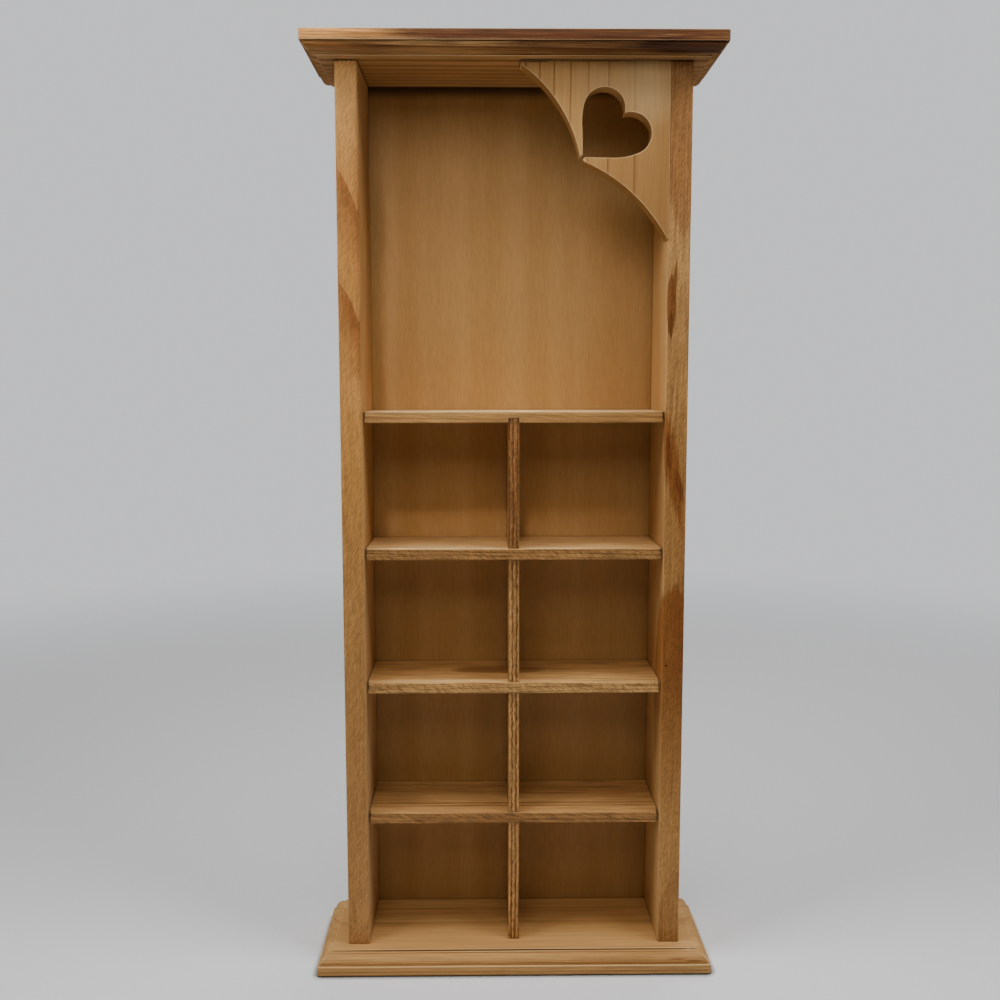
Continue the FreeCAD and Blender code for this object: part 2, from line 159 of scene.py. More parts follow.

# A board's place in its log, in millimetres and degrees: the grain's axis; a point of the pith, as how far
# it lies right of, behind and below the middle of the board's top front edge; how the pith leans; the width
# of a growth ring, how far the rings wander, how strong they look and the share of a ring that is dark; the
# tones of its planed faces and sawn edges, partly their own and partly painted light, shade and sheen; the
# slope and length of its saw strokes; how coarse strokes, fibres and pores look; where in a ring the pith
# starts; the stretch that shows rings, as how far its middle lies below the top and its half length; how far
# grime and painted shade spread from its corners; and how far torn fibres shake its rings
Log = namedtuple(
    "Log", "grain pith lean ring wander figure dark planed sawn saw coarse start reach grime torn",
    defaults=(0.0, None, 0.6, 0.0))
LOGS = {
    "top_board": Log(
        grain="X", pith=(0, 8.5, 39.3), lean=(0.6, 1.2), ring=6.0, wander=0.9, figure=2.4, dark=0.45,
        planed="cec4be", sawn="ffffff", saw=(0, 40), coarse=1.4, grime=0.85),
    "base_board": Log(
        grain="X", pith=(0, 23.5, 130), lean=(0.0, 0.2), ring=4.0, wander=0.4, figure=1.0, dark=0.25,
        planed="ece4da", sawn="e0d4c6", saw=(0, 40), coarse=0.8, start=1.2, grime=0.74),
    "left_upright": Log(
        grain="Z", pith=(-12.15, 130, 71.8), lean=(-2.7, 0.0), ring=3.0, wander=0.25, figure=0.9, dark=0.9,
        planed="f2ece6", sawn="dfcaa8", saw=(62, 4), coarse=0.9, start=3.41, reach=(97.8, 75)),
    "right_upright": Log(
        grain="Z", pith=(7.35, 91.6, 132.8), lean=(-1.1, 0.6), ring=3.4, wander=0.6, figure=0.4, dark=0.7,
        planed="ffffff", sawn="d4c6b2", saw=(62, 3.5), coarse=1.1, start=1.0),
    "upper_shelf": Log(
        grain="X", pith=(0, 47.6, 85.7), lean=(1.2, -0.3), ring=2.6, wander=0.5, figure=0.7, dark=0.4,
        planed="ffffff", sawn="d6ccbc", saw=(-5, 20), coarse=1.2, grime=0.72),
    "second_shelf": Log(
        grain="X", pith=(40, 27.6, 134.65), lean=(1.0, 0.4), ring=2.4, wander=0.6, figure=0.6, dark=0.4,
        planed="ffffff", sawn="c8baac", saw=(-30, 6), coarse=2.1, grime=0.72),
    "third_shelf": Log(
        grain="X", pith=(-20, 37.6, 133.6), lean=(-0.8, -0.5), ring=2.6, wander=0.7, figure=0.7, dark=0.4,
        planed="f4ece2", sawn="ece2d4", saw=(-32, 6), coarse=2.1, grime=0.72),
    "lowest_shelf": Log(
        grain="X", pith=(10, 7.6, 132.55), lean=(0.9, 0.6), ring=2.8, wander=0.8, figure=0.65, dark=0.5,
        planed="e8dfd6", sawn="c2b3a5", saw=(-18, 8), coarse=1.7, grime=0.72),
    "centre_divider": Log(
        grain="Z", pith=(-70.6, 41.6, 162.25), lean=(0.0, 0.25), ring=2.1, wander=0.2, figure=2.0, dark=0.6,
        planed="f0e8e0", sawn="eaded0", saw=(82, 4), coarse=1.7, grime=0.7, torn=0.9),
    "heart_bracket": Log(
        grain="Z", pith=(64, 239.6, 52.8), lean=(0.4, 2.0), ring=3.0, wander=0.3, figure=1.3, dark=0.14,
        planed="c8beac", sawn="d4cab8", saw=(90, 40), coarse=0.3),
}

# A patch of other colour on a board, in millimetres and degrees: its middle, as how far it lies right of,
# behind and below the middle of the board's top front edge; its half widths across, into and along the
# grain; its colour and strength; its lean; how soft its edge is; how far fibres fray it; and whether it
# fades towards its lower end
Mark = namedtuple("Mark", "place half colour strength lean soft fray tail", defaults=(0, 0.2, 1.2, False))
MARKS = {
    # Pale and brown stretches, streaks, a long dark stretch, a pin knot and painted shade in the joint with
    # the top board
    "right_upright": (
        Mark((2.35, 0, 114.8), (40, 30, 42), "e8c48e", 0.25, soft=0.7, fray=0.4),
        Mark((1.85, 0, 32.8), (14, 20, 66), "b28250", 0.78, soft=0.12, fray=0.5),
        Mark((0, 0, 262.8), (60, 30, 62), "a06c34", 0.4, soft=0.7),
        Mark((-4.45, 0, 135.8), (2.7, 4, 18), "96622e", 0.9, soft=0.15, fray=0.8),
        Mark((-2.45, 0, 123.8), (1.2, 4, 14), "96622e", 0.9, lean=4),
        Mark((-4.05, 0, 146.8), (1.9, 4, 8), "82501f", 0.7),
        Mark((-2.65, 0, 226.8), (4.4, 8, 40), "9e642c", 0.85, lean=-9.4, soft=0.3),
        Mark((-4.45, 0, 219.8), (1.6, 4, 13), "7c4018", 0.6, lean=-4),
        Mark((2.35, 0, 240.8), (1.7, 4, 10), "7c4018", 0.6, lean=-9),
        Mark((0, 0, 382.8), (46, 30, 83), "a0662c", 0.85, soft=0.06, fray=0.15, tail=True),
        Mark((-3.95, 0, 348.1), (0.8, 2, 0.8), "3a1e0c", 0.9, soft=0.3, fray=0.2),
        # Painted shade in the joint with the top board
        Mark((0, 0, -0.1), (80, 80, 1.1), "2a1608", 0.85),
    ),
    # A pale top, painted shade in the joint with the top board, a greyed foot and a darker inner face
    "left_upright": (
        Mark((0, 0, 4.8), (60, 60, 45), "f4d298", 0.7, soft=0.9),
        Mark((0, 0, -0.1), (80, 80, 1.1), "2a1608", 0.85),
        Mark((0, 0, 472.8), (60, 60, 170), "d2bc9c", 0.4, soft=0.9),
        Mark((6.35, 25.6, 92.8), (3, 40, 110), "9a6c3a", 0.4, soft=0.8),
    ),
    # Painted light on the upper shelf's top, pale front bands, a dark tongue and dark lines
    "upper_shelf": (
        # Painted light over the whole top face
        Mark((0, 25.6, 0), (6, 24, 200), "fbe2ac", 0.6, soft=0.6),
    ),
    "second_shelf": (
        Mark((-30, 4.6, 0), (20, 3.5, 95), "f2d49c", 0.6, soft=0.4, fray=0.6),
    ),
    "third_shelf": (
        Mark((-40, 4.6, 0), (20, 3.5, 60), "f4d49c", 0.75, soft=0.4, fray=0.5),
        Mark((-9, 29.6, 0), (20, 8, 29), "7c4e22", 0.6, fray=0.5),
    ),
    "lowest_shelf": (
        Mark((0, 5.6, 0), (20, 4.5, 140), "deb478", 0.4, soft=0.5, fray=0.5),
        Mark((0, 16.1, 0), (20, 0.9, 140), "6e421c", 0.65, soft=0.4, fray=0.4),
        Mark((0, 11.6, 0), (20, 0.8, 140), "6e421c", 0.55, soft=0.4, fray=0.4),
    ),
    # Painted shade in the joint with the top board and at the left tip where it meets the top board, painted
    # shade over the lower right and painted light over the upper part
    "heart_bracket": (
        Mark((0, 0, -0.1), (120, 80, 1.0), "2a1608", 0.85),
        # Painted shade over the lower right, and painted light over the upper part
        Mark((36, 0, 80.8), (30, 30, 50), "b0804a", 0.55, soft=0.9, fray=0.3),
        Mark((28, 0, 12.8), (26, 30, 20), "f4dab0", 0.55, soft=0.8, fray=0.3),
        Mark((-34, 0, -0.4), (1.8, 80, 16), "200e06", 0.9, lean=90, soft=0.3, fray=0.4),
    ),
    # Dark wood along the front, with painted light on the left end
    "top_board": (
        Mark((17, -0.1, 0.3), (14, 2.5, 110), "5c3010", 0.92, soft=0.5),
        # Painted light on the left end
        Mark((-118, 0, -0.7), (9, 8, 45), "ffb868", 0.95, soft=0.9),
        Mark((-92, 4.5, 7.3), (4, 9, 48), "74461e", 0.7, soft=0.7),
        Mark((38, 4.5, 8.3), (4, 9, 62), "66380f", 0.75, soft=0.6),
        Mark((96, 2.5, 8.3), (5, 7, 36), "3c1606", 0.85, soft=0.35),
        Mark((108, -0.1, 2.3), (8, 3, 22), "6e3f1c", 0.8, soft=0.5, fray=0.6),
    ),
    # A painted contact shadow along the foot, lines along the ledge, a browner right half, scratches and a
    # chip
    "base_board": (
        # Painted contact shadow where the board meets the floor
        Mark((0, 0, 11.6), (0.8, 3, 900), "140a05", 0.95, soft=0.3, fray=0.2),
        Mark((0, 9.6, 0.6), (0.9, 0.8, 114), "4c2a12", 0.8, soft=0.3, fray=0.4),
        Mark((0, 8.6, 0.7), (0.7, 0.6, 114), "ecd0a0", 0.6, soft=0.3, fray=0.3),
        Mark((0, 7.2, 0.7), (0.8, 0.6, 116), "6a4220", 0.6, soft=0.3, fray=0.5),
        Mark((75, 4.5, 3.5), (5, 9, 70), "a8763e", 0.5, soft=0.8, fray=0.6),
        Mark((97.8, 3.2, 2.9), (0.5, 2, 7), "6a3c18", 0.6, soft=0.4, fray=1.4),
        Mark((108, 2.3, 4.0), (0.5, 2, 6), "5a3014", 0.6, soft=0.4, fray=1.4),
        Mark((105.6, 9.2, 0.3), (0.6, 0.9, 3), "ecd6b6", 0.8, soft=0.4, fray=0.4),
    ),
    # A dark top
    "centre_divider": (
        Mark((0, 0, 36.2), (60, 20, 55), "6e3e18", 0.62, soft=0.9),
    ),
}


def linear(code):
    """Linear colour of an sRGB hex code."""
    shares = [int(code[i:i + 2], 16) / 255 for i in (0, 2, 4)]
    return [c / 12.92 if c <= 0.04045 else ((c + 0.055) / 1.055) ** 2.4 for c in shares]


class PineFinish(bpy.types.PropertyGroup):
    """Clear-finished pine."""

    earlywood: bpy.props.FloatVectorProperty(
        name="Earlywood", description="Pale wood of a ring's spring growth", subtype="COLOR",
        min=0, max=1, default=linear("dcb275"))
    latewood: bpy.props.FloatVectorProperty(
        name="Latewood", description="Dark wood of a ring's summer growth", subtype="COLOR",
        min=0, max=1, default=linear("9c6c39"))
    resin: bpy.props.FloatVectorProperty(
        name="Resin", description="Darkest wood of strongly marked rings", subtype="COLOR",
        min=0, max=1, default=linear("56300f"))
    # Worn wood, and also a painted highlight, along the arrises
    worn_and_highlight: bpy.props.FloatVectorProperty(
        name="Worn arris", description="Pale wood where handling has rubbed the arrises", subtype="COLOR",
        min=0, max=1, default=linear("e2c08c"))
    # This colour is dust in the joints and also painted shade there
    grime: bpy.props.FloatVectorProperty(
        name="Grime", description="Dust and old varnish in the joints", subtype="COLOR",
        min=0, max=1, default=linear("1c0f07"))
    arris: bpy.props.FloatProperty(
        name="Arris", description="Radius that handling has rubbed on sharp edges", unit="LENGTH",
        default=0.3 * MM, min=0)
    roughness: bpy.props.FloatProperty(
        name="Roughness", description="Roughness of the satin varnish", subtype="FACTOR",
        default=0.55, min=0, max=1)


class PlywoodFinish(bpy.types.PropertyGroup):
    """Three-ply panel."""

    veneer: bpy.props.FloatVectorProperty(
        name="Veneer", description="Main colour of the face veneer", subtype="COLOR",
        min=0, max=1, default=linear("b68a50"))
    streak: bpy.props.FloatVectorProperty(
        name="Streak", description="Colour of the veneer's darker streaks", subtype="COLOR",
        min=0, max=1, default=linear("ab7e44"))
    # This colour paints the shade in the joints and the shadow under the top board
    gap: bpy.props.FloatVectorProperty(
        name="Gap", description="Dark line where the panel meets the boards", subtype="COLOR",
        min=0, max=1, default=linear("241206"))
    core: bpy.props.FloatVectorProperty(
        name="Core", description="Colour of the cross ply between the veneers", subtype="COLOR",
        min=0, max=1, default=linear("7c5429"))


class NailFinish(bpy.types.PropertyGroup):
    """Wire nails."""

    steel: bpy.props.FloatVectorProperty(
        name="Steel", description="Colour of the bright wire", subtype="COLOR",
        min=0, max=1, default=linear("8d8a86"))
    tarnish: bpy.props.FloatVectorProperty(
        name="Tarnish", description="Colour of the darkened wire", subtype="COLOR",
        min=0, max=1, default=linear("544d47"))


class StudioSetup(bpy.types.PropertyGroup):
    """Small studio."""

    cloth: bpy.props.FloatVectorProperty(
        name="Cloth", description="Colour of the cloth on the floor", subtype="COLOR",
        min=0, max=1, default=linear("f2f3f4"))
    background: bpy.props.FloatVectorProperty(
        name="Background", description="Colour of the plain background", subtype="COLOR",
        min=0, max=1, default=linear("e4e6e8"))
    left_power: bpy.props.FloatProperty(
        name="Left light", description="Power of the soft light above the left", unit="POWER",
        default=5.2, min=0)
    right_power: bpy.props.FloatProperty(
        name="Right light", description="Power of the soft light above the right", unit="POWER",
        default=4.8, min=0)
    front_power: bpy.props.FloatProperty(
        name="Front light", description="Power of the soft light in front", unit="POWER",
        default=2.8, min=0)
    bay_power: bpy.props.FloatProperty(
        name="Bay light", description="Power of the narrow light on the bay", unit="POWER",
        default=0.048, min=0)
    rear_power: bpy.props.FloatProperty(
        name="Rear light", description="Power of the soft light behind", unit="POWER",
        default=4.0, min=0)
    ambient: bpy.props.FloatProperty(
        name="Ambient", description="Strength of the light from all round", subtype="FACTOR",
        default=0.03, min=0, max=1)


def feed(node, inputs):
    """Sets or links a node's inputs, known by number or name. Another node feeds in its first output."""
    for key, value in inputs.items():
        socket = node.inputs[key] if isinstance(key, int) else next(
            s for s in node.inputs if s.enabled and s.name == key)
        if isinstance(value, bpy.types.Node):
            value = next(s for s in value.outputs if s.enabled)
        if isinstance(value, bpy.types.NodeSocket):
            node.id_data.links.new(value, socket)
        elif socket.type == "RGBA":
            socket.default_value = (*value, 1)
        else:
            socket.default_value = value


def put(tree, kind, inputs=None, stops=(), **settings):
    """Adds a node with its settings, feeds its inputs and gives a ramp its stops."""
    node = tree.nodes.new("ShaderNode" + kind)
    for name, value in settings.items():
        setattr(node, name, value)
    feed(node, inputs or {})
    for index, (place, shade) in enumerate(stops):
        elements = node.color_ramp.elements
        stop = elements[index] if index < 2 else elements.new(place)
        stop.position = place
        stop.color = (shade, shade, shade, 1) if isinstance(shade, (int, float)) else (*shade, 1)
    return node


def new_material(name):
    """A new material with its tree, its surface shader and the Object coordinates."""
    material = bpy.data.materials.new(name)
    material.use_nodes = True
    tree = material.node_tree
    place = put(tree, "TexCoord").outputs["Object"]
    return material, tree, tree.nodes["Principled BSDF"], place


def on_board(node, place):
    """The point so many millimetres right of, behind and below the middle of a board's top front edge."""
    low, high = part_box(node)
    right, behind, below = (distance * MM for distance in place)
    return Vector(((low.x + high.x) / 2 + right, low.y + behind, high.z - below))


def pine(node, finish):
    """Sawn and planed pine under satin varnish: growth rings cut at a slant give tongues and lines, with
    fine fibres, slow changes of tone, rubbed pale arrises and dark joints."""
    log = LOGS[node]
    material, tree, shader, place = new_material("satin_pine_" + node)
    tip, swing = (math.radians(angle) for angle in log.lean)
    turn = (tip, swing, 0) if log.grain == "Z" else (0, math.pi / 2 + tip, swing)
    pith = put(tree, "Mapping", {"Vector": place, "Location": on_board(node, log.pith), "Rotation": turn},
               vector_type="TEXTURE")
    slow = put(tree, "VectorMath", {0: pith, 1: SLOW}, operation="MULTIPLY")
    along = put(tree, "VectorMath", {0: pith, 1: FIBROUS}, operation="MULTIPLY")
    fibre = put(tree, "TexNoise", {"Vector": along, "Scale": 1 / FIBRE_WIDTH, "Detail": 3.0,
                                   "Roughness": 0.6})

    # Front and rear edges are sawn, the other faces planed, and the painted light and shade of each side
    # follow the same split
    facing = put(tree, "SeparateXYZ", {0: place.node.outputs["Normal"]}).outputs["Y"]
    facing = put(tree, "Math", {0: facing}, operation="ABSOLUTE")
    sawn = put(tree, "MapRange", {"Value": facing, "From Min": 0.4, "From Max": 0.9})

    # Rings, with resin in the strongest, then the patches of other colour and the fibres
    share = ring_share(tree, node, place, pith, slow, sawn)
    wood = put(tree, "Mix", {"Factor": share, "A": finish.earlywood, "B": finish.latewood}, **BLEND)
    deep = put(tree, "MapRange", {"Value": share, "From Min": 1.0, "From Max": 2.0, "To Max": 0.8})
    wood = put(tree, "Mix", {"Factor": deep, "A": wood, "B": finish.resin}, **BLEND)
    for mark in MARKS.get(node, ()) + end_marks(node):
        wood = add_mark(tree, node, place, fibre, mark, wood)
    shade = put(tree, "MapRange", {"Value": fibre, **NOISE_RANGE, "To Min": 1 - FIBRE_DARK * log.coarse,
                                   "To Max": 1 + FIBRE_LIGHT * log.coarse})
    wood = put(tree, "Mix", {"Factor": 1.0, "A": wood, "B": shade}, **TINT)

    # Slow changes of tone across the board
    blotch = put(tree, "TexNoise", {"Vector": slow, "Scale": 1 / TONE_SPAN, "Detail": 3.0})
    tone = put(tree, "ValToRGB", {"Fac": blotch},
               stops=((0.3, linear("e6dace")), (0.7, linear("ffffff")), (0.5, linear("f6f0ea"))))
    wood = put(tree, "Mix", {"Factor": 1.0, "A": wood, "B": tone}, **TINT)

    # Sawn edges have another tone than planed faces, partly their own and partly painted light, shade and
    # sheen by the way each side faces, and show the strokes of the saw
    side_tone_and_light = put(tree, "Mix", {"Factor": sawn, "A": linear(log.planed), "B": linear(log.sawn)}, **BLEND)
    wood = put(tree, "Mix", {"Factor": 1.0, "A": wood, "B": side_tone_and_light}, **TINT)
    strokes, scratch = saw_strokes(tree, log, place)
    wood = put(tree, "Mix", {"Factor": sawn, "A": wood, "B": scratch}, **TINT)

    # Arrises rubbed pale in places, which also paints a highlight along them
    arris = put(tree, "Attribute", attribute_name="arris").outputs["Fac"]
    patchy = put(tree, "MapRange", {"Value": blotch, "From Min": 0.35, "From Max": 0.6, "To Min": 0.35})
    rubbed_and_highlit = put(tree, "Math", {0: arris, 1: patchy}, operation="MULTIPLY")
    wood = put(tree, "Mix", {"Factor": rubbed_and_highlit, "A": wood, "B": finish.worn_and_highlight}, **BLEND)

    # Grime and painted shade where boards meet
    near = put(tree, "AmbientOcclusion", {"Distance": PINE_SHADE_REACH}, samples=JOINT_SAMPLES).outputs["AO"]
    joint_shade = put(tree, "MapRange", {"Value": near, "From Min": log.grime - GRIME_SHADE_EDGE, "From Max": log.grime,
                                   "To Min": GRIME_SHADE_STRENGTH * log.grime, "To Max": 0.0})
    wood = put(tree, "Mix", {"Factor": joint_shade, "A": wood, "B": finish.grime}, **BLEND)

    gloss = put(tree, "MapRange", {"Value": fibre, **NOISE_RANGE, "To Min": finish.roughness - SMOOTHER,
                                   "To Max": finish.roughness + ROUGHER})
    relief = put(tree, "Math", {0: fibre, 1: strokes}, operation="ADD")
    bump = put(tree, "Bump", {"Strength": 0.35, "Distance": PINE_RELIEF, "Height": relief})
    feed(shader, {"Base Color": wood, "Roughness": gloss, "Normal": bump, "Specular IOR Level": 0.16})
    return material


def ring_share(tree, node, place, pith, slow, sawn):
    """How much dark summer wood shows: rings that wander along the grain, grow faint and strong, and are
    fainter under the planed faces' varnish."""
    log = LOGS[node]
    bent = pith
    for amount, drawn, span in ((log.wander, SLOW, WANDER_SPAN), (log.torn, TORN, TORN_SPAN)):
        if amount:
            stretched = put(tree, "VectorMath", {0: pith, 1: drawn}, operation="MULTIPLY")
            stir = put(tree, "TexNoise", {"Vector": stretched, "Scale": 1 / span, "Detail": 2.0})
            reach = 2 * amount * MM
            bent = put(tree, "VectorMath", {0: stir.outputs["Color"], 1: (reach, reach, 0), 2: bent},
                       operation="MULTIPLY_ADD")
    rings = put(tree, "TexWave", {"Vector": bent, "Scale": WAVE_RING / (log.ring * MM),
                                  "Phase Offset": log.start},
                wave_type="RINGS", rings_direction="Z", wave_profile="SAW").outputs["Fac"]

    # A ring darkens slowly through the summer and ends at a sharp line
    late = put(tree, "ValToRGB", {"Fac": rings},
               stops=((0.0, 0.08), (1.0, 0.9), (1 - log.dark, 0.05), (1 - log.dark / 2, 0.5),
                      (1 - log.dark / 8, 1.0)))
    sway = put(tree, "TexNoise", {"Vector": slow, "Scale": 1 / SWAY_SPAN, "Detail": 1.0})
    strength = put(tree, "MapRange", {"Value": sway, **NOISE_RANGE, "To Min": FAINT_FIGURE * log.figure,
                                      "To Max": log.figure})
    plain = put(tree, "MapRange", {"Value": sawn, "To Min": PLANED_FIGURE})
    strength = put(tree, "Math", {0: strength, 1: plain}, operation="MULTIPLY")
    if log.reach:
        below, half = log.reach
        start = half * MM
        height = put(tree, "SeparateXYZ", {0: place}).outputs["Z"]
        away = put(tree, "Math", {0: height, 1: on_board(node, (0, 0, below)).z}, operation="SUBTRACT")
        away = put(tree, "Math", {0: away}, operation="ABSOLUTE")
        kept = put(tree, "MapRange", {"Value": away, "From Min": start, "From Max": start + REACH_FADE,
                                      "To Min": 1.0, "To Max": DISTANT_FIGURE})
        strength = put(tree, "Math", {0: strength, 1: kept}, operation="MULTIPLY")
    return put(tree, "Math", {0: late, 1: strength}, operation="MULTIPLY")


def saw_strokes(tree, log, place):
    """Saw strokes that slant across a sawn edge, and the light and dark that they and open pores give it."""
    slope, length = log.saw
    slant = put(tree, "Mapping", {"Vector": place, "Rotation": (0, -math.radians(slope), 0),
                                  "Scale": (length * MM, length * MM, STROKE_WIDTH)}, vector_type="TEXTURE")
    strokes = put(tree, "TexNoise", {"Vector": slant, "Scale": 1.0, "Detail": 3.0, "Roughness": 0.75})
    shade = put(tree, "MapRange", {"Value": strokes, "From Min": 0.35, "From Max": 0.65,
                                   "To Min": 1 - STROKE_DARK * log.coarse,
                                   "To Max": 1 + STROKE_LIGHT * log.coarse})
    speck = put(tree, "TexNoise", {"Vector": place, "Scale": 1 / PORE_WIDTH, "Detail": 2.0})
    pores = put(tree, "MapRange", {"Value": speck, "From Min": 0.52, "From Max": 0.7,
                                   "To Min": 1 + PORE_LIGHT, "To Max": 1 - PORE_DARK * log.coarse})
    return strokes, put(tree, "Math", {0: shade, 1: pores}, operation="MULTIPLY")


def end_marks(node):
    """Dark lines at the ends of a shelf, at the joint with the upright."""
    if node not in SHELVES:
        return ()
    low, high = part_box(node)
    half_length = (high.x - low.x) / 2 / MM
    return tuple(Mark((end, 0, 0), (12, 6, 1.1), "2a1206", 0.9, soft=0.3, fray=0.4)
                 for end in (-half_length, half_length))


def add_mark(tree, node, place, fibre, mark, wood):
    """A patch of other colour, pointed along the grain, with fibres at its edge."""
    turn = math.radians(mark.lean) + (math.pi / 2 if LOGS[node].grain == "X" else 0)
    local = put(tree, "Mapping", {"Vector": place, "Location": on_board(node, mark.place),
                                  "Rotation": (0, turn, 0), "Scale": [half * MM for half in mark.half]},
                vector_type="TEXTURE")
    axes = put(tree, "SeparateXYZ", {0: local}).outputs
    across = put(tree, "Math", {0: axes["X"]}, operation="ABSOLUTE")
    lens = put(tree, "Math", {0: axes["Z"], 1: axes["Z"], 2: across}, operation="MULTIPLY_ADD")
    deep = put(tree, "Math", {0: axes["Y"], 1: axes["Y"], 2: lens}, operation="MULTIPLY_ADD")
    rough = put(tree, "Math", {0: fibre, 1: mark.fray, 2: deep}, operation="MULTIPLY_ADD")
    edge = 1 + mark.fray / 2
    share = put(tree, "MapRange", {"Value": rough, "From Min": edge - mark.soft,
                                   "From Max": edge + mark.soft, "To Min": mark.strength, "To Max": 0.0})
    if mark.tail:
        fade = put(tree, "MapRange", {"Value": axes["Z"], "From Min": -0.9, "From Max": 0.4})
        share = put(tree, "Math", {0: share, 1: fade}, operation="MULTIPLY")
    return put(tree, "Mix", {"Factor": share, "A": wood, "B": linear(mark.colour)}, **BLEND)


def plywood(finish):
    """Three-ply panel: a smooth upright veneer with soft streaks on both faces and a darker cross ply that
    shows as a line along the edges."""
    material, tree, shader, place = new_material("veneered_plywood")
    axes = put(tree, "SeparateXYZ", {0: place}).outputs

    # Soft streaks and short fibres, and painted shade towards both sides and most on the right, so the sheet
    # is palest left of its middle
    along = put(tree, "VectorMath", {0: place, 1: STREAKY}, operation="MULTIPLY")
    broad = put(tree, "TexNoise", {"Vector": along, "Scale": 1 / STREAK_SPAN, "Detail": 1.0})
    streak = put(tree, "MapRange", {"Value": broad, **NOISE_RANGE})
    wood = put(tree, "Mix", {"Factor": streak, "A": finish.veneer, "B": finish.streak}, **BLEND)
    short = put(tree, "VectorMath", {0: place, 1: SHORT}, operation="MULTIPLY")
    fine = put(tree, "TexNoise", {"Vector": short, "Scale": 1 / FIBRE_WIDTH, "Detail": 2.0,
                                  "Roughness": 0.6})
    shade = put(tree, "MapRange", {"Value": fine, **NOISE_RANGE, "To Min": 0.9, "To Max": 1.06})
    wood = put(tree, "Mix", {"Factor": 1.0, "A": wood, "B": shade}, **TINT)
    # Painted shade from the uprights and the bracket, darkest at the right edge
    across = put(tree, "MapRange", {"Value": axes["X"], "From Min": -INNER_SIDE, "From Max": INNER_SIDE})
    side_shade = put(tree, "ValToRGB", {"Fac": across},
                stops=((0.0, 0.88), (1.0, 0.8), (0.32, 1.0), (0.6, 0.95), (0.82, 0.9)))
    wood = put(tree, "Mix", {"Factor": 1.0, "A": wood, "B": side_shade}, **TINT)

    # The cross ply is the middle third of the thickness
    middle, half_ply = (PANEL_FRONT + PANEL_REAR) / 2, (PANEL_REAR - PANEL_FRONT) / 6
    core = put(tree, "Math", {0: axes["Y"], 1: middle, 2: half_ply}, operation="COMPARE")
    wood = put(tree, "Mix", {"Factor": core, "A": wood, "B": finish.core}, **BLEND)

    # Painted shade in the joints with the boards, and a painted shadow in a strip at the top edge of the
    # front face
    near = put(tree, "AmbientOcclusion", {"Distance": PANEL_SHADE_REACH}, samples=JOINT_SAMPLES).outputs["AO"]
    joint_shade = put(tree, "MapRange", {"Value": near, "From Min": 0.4, "From Max": 0.7,
                                   "To Min": 0.5, "To Max": 0.0})
    wood = put(tree, "Mix", {"Factor": joint_shade, "A": wood, "B": finish.gap}, **BLEND)
    high = put(tree, "MapRange", {"Value": axes["Z"], "From Min": CASE_TOP - SHADOW_START,
                                  "From Max": CASE_TOP - SHADOW_END, "To Max": SHADOW_STRENGTH},
               interpolation_type="SMOOTHSTEP")
    front = put(tree, "Math", {0: axes["Y"], 1: PANEL_FRONT, 2: FACE_MARGIN}, operation="COMPARE")
    shadow_strip = put(tree, "Math", {0: high, 1: front}, operation="MULTIPLY")
    wood = put(tree, "Mix", {"Factor": shadow_strip, "A": wood, "B": finish.gap}, **BLEND)

    bump = put(tree, "Bump", {"Strength": 0.25, "Distance": VENEER_RELIEF, "Height": fine})
    feed(shader, {"Base Color": wood, "Roughness": 0.55, "Normal": bump, "Specular IOR Level": 0.2})
    return material


def nail_wire(finish):
    """Drawn steel wire, dulled by years in the wood: soft grey gloss with darker tarnish."""
    material, tree, shader, place = new_material("dull_wire_steel")
    spots = put(tree, "TexNoise", {"Vector": place, "Scale": 1 / TARNISH_SPAN, "Detail": 3.0})
    tint = put(tree, "Mix", {"Factor": spots, "A": finish.steel, "B": finish.tarnish}, **BLEND)
    dull = put(tree, "MapRange", {"Value": spots, "To Min": 0.32, "To Max": 0.6})
    feed(shader, {"Base Color": tint, "Roughness": dull, "Metallic": 1.0})
    return material


def pale_cloth(colour):
    """Pale cloth: matt, with a faint weave, a painted contact shadow under the shelf's edge, and fading out
    far from the shelf into the plain background."""
    material, tree, shader, place = new_material("pale_floor_cloth")
    weave = put(tree, "TexNoise", {"Vector": place, "Scale": 1 / WEAVE_SPAN, "Detail": 2.0})
    shade = put(tree, "MapRange", {"Value": weave, "To Min": 0.97, "To Max": 1.03})
    tint = put(tree, "Mix", {"Factor": 1.0, "A": colour, "B": shade}, **TINT)
    # Painted contact shadow where the shelf stands
    near = put(tree, "AmbientOcclusion", {"Distance": FLOOR_SHADOW_REACH}, samples=JOINT_SAMPLES).outputs["AO"]
    contact_shadow = put(tree, "MapRange", {"Value": near, "From Min": 0.5, "To Min": 0.05})
    tint = put(tree, "Mix", {"Factor": 1.0, "A": tint, "B": contact_shadow}, **TINT)
    distance = put(tree, "VectorMath", {0: place}, operation="LENGTH").outputs["Value"]
    fade = put(tree, "MapRange", {"Value": distance, "From Min": FLOOR_FADE, "From Max": FLOOR_RADIUS,
                                  "To Min": 1.0, "To Max": 0.0}, interpolation_type="SMOOTHSTEP")
    feed(shader, {"Base Color": tint, "Roughness": 0.95, "Alpha": fade})
    return material


def nail_boxes():
    """Boxes round every nail, a little larger than it, one for each solid of the nail nodes."""
    boxes = []
    for name in NAILS:
        shell = bmesh.new()
        shell.from_mesh(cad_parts[name].data)
        bmesh.ops.remove_doubles(shell, verts=shell.verts, dist=WELD)
        left = set(shell.verts)
        while left:
            group = [left.pop()]
            for vert in group:
                reached = [e.other_vert(vert) for e in vert.link_edges]
                fresh = [v for v in reached if v in left]
                left.difference_update(fresh)
                group.extend(fresh)
            spots = [v.co for v in group]
            low = Vector([min(c[i] for c in spots) - NAIL_MARGIN for i in range(3)])
            high = Vector([max(c[i] for c in spots) + NAIL_MARGIN for i in range(3)])
            boxes.append((low, high))
        shell.free()
    return boxes


def inside(point, box):
    """Whether a point lies in a box."""
    return all(box[0][i] <= point[i] <= box[1][i] for i in range(3))


